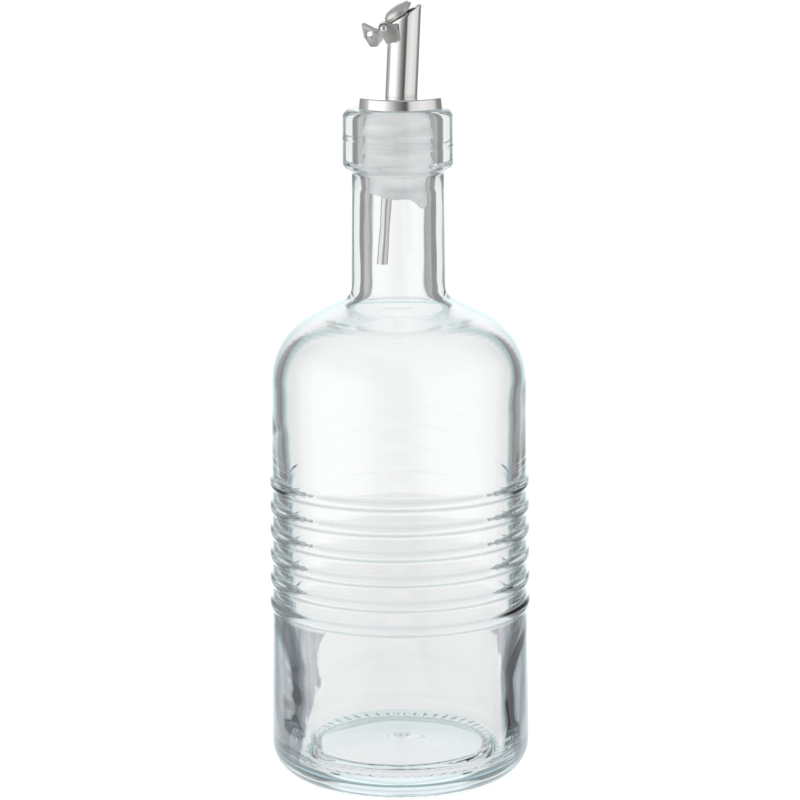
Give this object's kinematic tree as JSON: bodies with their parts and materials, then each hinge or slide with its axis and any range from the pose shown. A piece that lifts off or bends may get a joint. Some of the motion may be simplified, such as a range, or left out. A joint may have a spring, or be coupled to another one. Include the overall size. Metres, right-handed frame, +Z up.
{
  "type": "glass oil bottle",
  "caption": "Clear glass oil bottle with a ribbed barrel and thick collar, corked by a finned plug carrying a leaning steel spout with a hinged flap lid.",
  "frame": {"origin": "centre of the bottle's bearing ring, on the plane it stands on", "axes": "+Z up the bottle's axis, +X towards the pouring lip, hinge pin along Y"},
  "size_m": [0.0794, 0.0794, 0.2334],
  "materials": {
    "clear_glass": "clear, faintly aqua where thick",
    "soft_plug": "milky translucent",
    "stiff_plug": "natural, slightly cream",
    "polished_steel": "polished stainless",
    "satin_steel": "satin stainless sheet"
  },
  "bodies": {
    "bottle": {"glass_bottle": "clear_glass"},
    "plug": {"plug_sleeve": "soft_plug"},
    "head": {"plug_core": "stiff_plug", "cap_disc": "polished_steel", "spout_tube": "polished_steel", "air_tube": "polished_steel", "hinge_bracket": "satin_steel"},
    "lid": {"lid_flap": "satin_steel", "hinge_pin": "polished_steel"}
  },
  "joints": [
    {"name": "plug_lift", "type": "slide", "parent": "bottle", "child": "plug", "axis": [0, 0, 1], "range_m": [0, 0.055]},
    {"name": "head_turn", "type": "hinge", "parent": "plug", "child": "head", "pos_m": [0, 0, 0.19], "axis": [0, 0, 1], "continuous": true},
    {"name": "lid_swing", "type": "hinge", "parent": "head", "child": "lid", "pos_m": [-0.00413, 0, 0.2256], "axis": [0, -1, 0], "range_deg": [-4.5, 14]}
  ]
}
